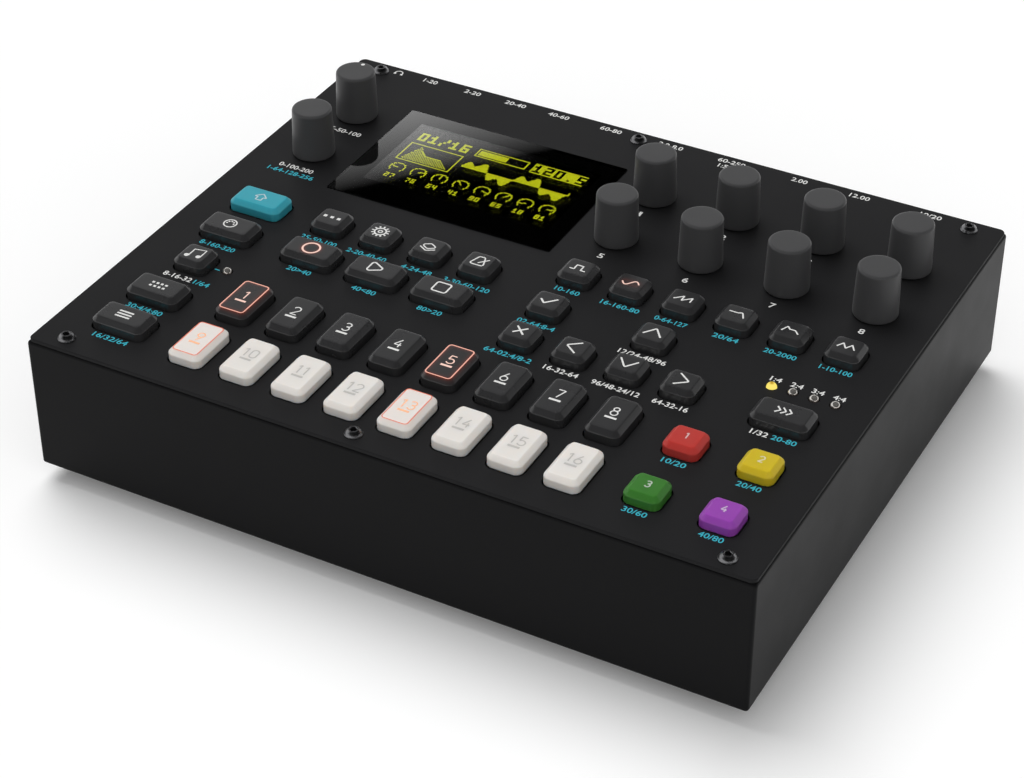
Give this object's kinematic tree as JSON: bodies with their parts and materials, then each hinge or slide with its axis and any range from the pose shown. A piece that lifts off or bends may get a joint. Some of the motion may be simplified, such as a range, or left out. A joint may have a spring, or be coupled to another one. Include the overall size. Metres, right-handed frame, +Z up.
{
  "type": "fm synthesizer",
  "caption": "Desktop synthesizer: folded dark steel case, flat control panel with knobs, pressed keys, graphic display, indicator lamps and a row of rear sockets.",
  "frame": {"origin": "middle of the whole outline, on the surface that the feet stand on", "axes": "+X to the right along the long side, +Y to the rear with the sockets, +Z up"},
  "size_m": [0.215, 0.179, 0.063],
  "materials": {
    "case_paint": "fine satin powder coat",
    "panel_paint": "fine satin powder coat",
    "screw_steel": "black oxide",
    "foot_rubber": "matte",
    "window_tint": "clear polished acrylic with a black printed border",
    "display_glass": "dark display glass on a black holder",
    "board": "green solder mask",
    "switch_body": "matte",
    "encoder_body": "plain",
    "lamp_lens": "clear epoxy",
    "socket_black": "matte",
    "socket_metal": "plain",
    "key_black": "fine matte",
    "key_white": "fine matte",
    "key_teal": "fine matte",
    "key_red": "fine matte",
    "key_yellow": "fine matte",
    "key_green": "fine matte",
    "key_purple": "fine matte",
    "knob_black": "matte"
  },
  "bodies": {
    "chassis": {"case_tray": "case_paint", "top_panel": "panel_paint", "button_head_screws": "screw_steel", "rubber_feet": "foot_rubber", "display_window": "window_tint", "display_module": "display_glass", "control_board": "board", "main_board": "board", "push_switches": "switch_body", "rotary_encoders": "encoder_body", "status_lamps": "lamp_lens", "audio_jacks": "socket_black", "midi_sockets": "socket_black", "midi_cores": "socket_black", "usb_and_dc_sockets": "socket_metal"},
    "step_key_1": {"step_key_1": "key_black"},
    "step_key_2": {"step_key_2": "key_black"},
    "step_key_3": {"step_key_3": "key_black"},
    "step_key_4": {"step_key_4": "key_black"},
    "step_key_5": {"step_key_5": "key_black"},
    "step_key_6": {"step_key_6": "key_black"},
    "step_key_7": {"step_key_7": "key_black"},
    "step_key_8": {"step_key_8": "key_black"},
    "step_key_9": {"step_key_9": "key_white"},
    "step_key_10": {"step_key_10": "key_white"},
    "step_key_11": {"step_key_11": "key_white"},
    "step_key_12": {"step_key_12": "key_white"},
    "step_key_13": {"step_key_13": "key_white"},
    "step_key_14": {"step_key_14": "key_white"},
    "step_key_15": {"step_key_15": "key_white"},
    "step_key_16": {"step_key_16": "key_white"},
    "track_key_1": {"track_key_1": "key_red"},
    "track_key_2": {"track_key_2": "key_yellow"},
    "track_key_3": {"track_key_3": "key_green"},
    "track_key_4": {"track_key_4": "key_purple"},
    "function_key": {"function_key": "key_teal"},
    "midi_key": {"midi_key": "key_black"},
    "pattern_key": {"pattern_key": "key_black"},
    "bank_key": {"bank_key": "key_black"},
    "page_key": {"page_key": "key_black"},
    "record_key": {"record_key": "key_black"},
    "play_key": {"play_key": "key_black"},
    "stop_key": {"stop_key": "key_black"},
    "note_key": {"note_key": "key_black"},
    "yes_key": {"yes_key": "key_black"},
    "no_key": {"no_key": "key_black"},
    "arrow_keys": {"arrow_keys": "key_black"},
    "menu_keys": {"menu_keys": "key_black"},
    "parameter_keys": {"parameter_keys": "key_black"},
    "volume_knob": {"volume_knob": "knob_black"},
    "level_knob": {"level_knob": "knob_black"},
    "data_knob_1": {"data_knob_1": "knob_black"},
    "data_knob_2": {"data_knob_2": "knob_black"},
    "data_knob_3": {"data_knob_3": "knob_black"},
    "data_knob_4": {"data_knob_4": "knob_black"},
    "data_knob_5": {"data_knob_5": "knob_black"},
    "data_knob_6": {"data_knob_6": "knob_black"},
    "data_knob_7": {"data_knob_7": "knob_black"},
    "data_knob_8": {"data_knob_8": "knob_black"},
    "power_button": {"power_button": "key_black"}
  },
  "joints": [
    {"name": "step_key_1_press", "type": "slide", "parent": "chassis", "child": "step_key_1", "axis": [0, 0, -1], "range_m": [0, 0.0005], "stiffness_N_per_m": 1500},
    {"name": "step_key_2_press", "type": "slide", "parent": "chassis", "child": "step_key_2", "axis": [0, 0, -1], "range_m": [0, 0.0005], "stiffness_N_per_m": 1500},
    {"name": "step_key_3_press", "type": "slide", "parent": "chassis", "child": "step_key_3", "axis": [0, 0, -1], "range_m": [0, 0.0005], "stiffness_N_per_m": 1500},
    {"name": "step_key_4_press", "type": "slide", "parent": "chassis", "child": "step_key_4", "axis": [0, 0, -1], "range_m": [0, 0.0005], "stiffness_N_per_m": 1500},
    {"name": "step_key_5_press", "type": "slide", "parent": "chassis", "child": "step_key_5", "axis": [0, 0, -1], "range_m": [0, 0.0005], "stiffness_N_per_m": 1500},
    {"name": "step_key_6_press", "type": "slide", "parent": "chassis", "child": "step_key_6", "axis": [0, 0, -1], "range_m": [0, 0.0005], "stiffness_N_per_m": 1500},
    {"name": "step_key_7_press", "type": "slide", "parent": "chassis", "child": "step_key_7", "axis": [0, 0, -1], "range_m": [0, 0.0005], "stiffness_N_per_m": 1500},
    {"name": "step_key_8_press", "type": "slide", "parent": "chassis", "child": "step_key_8", "axis": [0, 0, -1], "range_m": [0, 0.0005], "stiffness_N_per_m": 1500},
    {"name": "step_key_9_press", "type": "slide", "parent": "chassis", "child": "step_key_9", "axis": [0, 0, -1], "range_m": [0, 0.0005], "stiffness_N_per_m": 1500},
    {"name": "step_key_10_press", "type": "slide", "parent": "chassis", "child": "step_key_10", "axis": [0, 0, -1], "range_m": [0, 0.0005], "stiffness_N_per_m": 1500},
    {"name": "step_key_11_press", "type": "slide", "parent": "chassis", "child": "step_key_11", "axis": [0, 0, -1], "range_m": [0, 0.0005], "stiffness_N_per_m": 1500},
    {"name": "step_key_12_press", "type": "slide", "parent": "chassis", "child": "step_key_12", "axis": [0, 0, -1], "range_m": [0, 0.0005], "stiffness_N_per_m": 1500},
    {"name": "step_key_13_press", "type": "slide", "parent": "chassis", "child": "step_key_13", "axis": [0, 0, -1], "range_m": [0, 0.0005], "stiffness_N_per_m": 1500},
    {"name": "step_key_14_press", "type": "slide", "parent": "chassis", "child": "step_key_14", "axis": [0, 0, -1], "range_m": [0, 0.0005], "stiffness_N_per_m": 1500},
    {"name": "step_key_15_press", "type": "slide", "parent": "chassis", "child": "step_key_15", "axis": [0, 0, -1], "range_m": [0, 0.0005], "stiffness_N_per_m": 1500},
    {"name": "step_key_16_press", "type": "slide", "parent": "chassis", "child": "step_key_16", "axis": [0, 0, -1], "range_m": [0, 0.0005], "stiffness_N_per_m": 1500},
    {"name": "track_key_1_press", "type": "slide", "parent": "chassis", "child": "track_key_1", "axis": [0, 0, -1], "range_m": [0, 0.0005], "stiffness_N_per_m": 1500},
    {"name": "track_key_2_press", "type": "slide", "parent": "chassis", "child": "track_key_2", "axis": [0, 0, -1], "range_m": [0, 0.0005], "stiffness_N_per_m": 1500},
    {"name": "track_key_3_press", "type": "slide", "parent": "chassis", "child": "track_key_3", "axis": [0, 0, -1], "range_m": [0, 0.0005], "stiffness_N_per_m": 1500},
    {"name": "track_key_4_press", "type": "slide", "parent": "chassis", "child": "track_key_4", "axis": [0, 0, -1], "range_m": [0, 0.0005], "stiffness_N_per_m": 1500},
    {"name": "function_key_press", "type": "slide", "parent": "chassis", "child": "function_key", "axis": [0, 0, -1], "range_m": [0, 0.0005], "stiffness_N_per_m": 1500},
    {"name": "midi_key_press", "type": "slide", "parent": "chassis", "child": "midi_key", "axis": [0, 0, -1], "range_m": [0, 0.0005], "stiffness_N_per_m": 1500},
    {"name": "pattern_key_press", "type": "slide", "parent": "chassis", "child": "pattern_key", "axis": [0, 0, -1], "range_m": [0, 0.0005], "stiffness_N_per_m": 1500},
    {"name": "bank_key_press", "type": "slide", "parent": "chassis", "child": "bank_key", "axis": [0, 0, -1], "range_m": [0, 0.0005], "stiffness_N_per_m": 1500},
    {"name": "page_key_press", "type": "slide", "parent": "chassis", "child": "page_key", "axis": [0, 0, -1], "range_m": [0, 0.0005], "stiffness_N_per_m": 1500},
    {"name": "record_key_press", "type": "slide", "parent": "chassis", "child": "record_key", "axis": [0, 0, -1], "range_m": [0, 0.0005], "stiffness_N_per_m": 1500},
    {"name": "play_key_press", "type": "slide", "parent": "chassis", "child": "play_key", "axis": [0, 0, -1], "range_m": [0, 0.0005], "stiffness_N_per_m": 1500},
    {"name": "stop_key_press", "type": "slide", "parent": "chassis", "child": "stop_key", "axis": [0, 0, -1], "range_m": [0, 0.0005], "stiffness_N_per_m": 1500},
    {"name": "note_key_press", "type": "slide", "parent": "chassis", "child": "note_key", "axis": [0, 0, -1], "range_m": [0, 0.0005], "stiffness_N_per_m": 1500},
    {"name": "yes_key_press", "type": "slide", "parent": "chassis", "child": "yes_key", "axis": [0, 0, -1], "range_m": [0, 0.0005], "stiffness_N_per_m": 1500},
    {"name": "no_key_press", "type": "slide", "parent": "chassis", "child": "no_key", "axis": [0, 0, -1], "range_m": [0, 0.0005], "stiffness_N_per_m": 1500},
    {"name": "arrow_keys_press", "type": "slide", "parent": "chassis", "child": "arrow_keys", "axis": [0, 0, -1], "range_m": [0, 0.0005], "stiffness_N_per_m": 1500},
    {"name": "menu_keys_press", "type": "slide", "parent": "chassis", "child": "menu_keys", "axis": [0, 0, -1], "range_m": [0, 0.0005], "stiffness_N_per_m": 1500},
    {"name": "parameter_keys_press", "type": "slide", "parent": "chassis", "child": "parameter_keys", "axis": [0, 0, -1], "range_m": [0, 0.0005], "stiffness_N_per_m": 1500},
    {"name": "volume_knob_turn", "type": "hinge", "parent": "chassis", "child": "volume_knob", "pos_m": [-0.0901, 0.0549, 0.0475], "axis": [0, 0, 1], "range_deg": [-150, 150]},
    {"name": "level_knob_turn", "type": "hinge", "parent": "chassis", "child": "level_knob", "pos_m": [-0.0901, 0.0298, 0.0475], "axis": [0, 0, 1], "continuous": true},
    {"name": "data_knob_1_turn", "type": "hinge", "parent": "chassis", "child": "data_knob_1", "pos_m": [0.0109, 0.0549, 0.0475], "axis": [0, 0, 1], "continuous": true},
    {"name": "data_knob_2_turn", "type": "hinge", "parent": "chassis", "child": "data_knob_2", "pos_m": [0.0372, 0.0549, 0.0475], "axis": [0, 0, 1], "continuous": true},
    {"name": "data_knob_3_turn", "type": "hinge", "parent": "chassis", "child": "data_knob_3", "pos_m": [0.0635, 0.0549, 0.0475], "axis": [0, 0, 1], "continuous": true},
    {"name": "data_knob_4_turn", "type": "hinge", "parent": "chassis", "child": "data_knob_4", "pos_m": [0.0898, 0.0549, 0.0475], "axis": [0, 0, 1], "continuous": true},
    {"name": "data_knob_5_turn", "type": "hinge", "parent": "chassis", "child": "data_knob_5", "pos_m": [0.0109, 0.0298, 0.0475], "axis": [0, 0, 1], "continuous": true},
    {"name": "data_knob_6_turn", "type": "hinge", "parent": "chassis", "child": "data_knob_6", "pos_m": [0.0372, 0.0298, 0.0475], "axis": [0, 0, 1], "continuous": true},
    {"name": "data_knob_7_turn", "type": "hinge", "parent": "chassis", "child": "data_knob_7", "pos_m": [0.0635, 0.0298, 0.0475], "axis": [0, 0, 1], "continuous": true},
    {"name": "data_knob_8_turn", "type": "hinge", "parent": "chassis", "child": "data_knob_8", "pos_m": [0.0898, 0.0298, 0.0475], "axis": [0, 0, 1], "continuous": true},
    {"name": "power_button_press", "type": "slide", "parent": "chassis", "child": "power_button", "axis": [0, -1, 0], "range_m": [0, 0.002], "stiffness_N_per_m": 600}
  ]
}
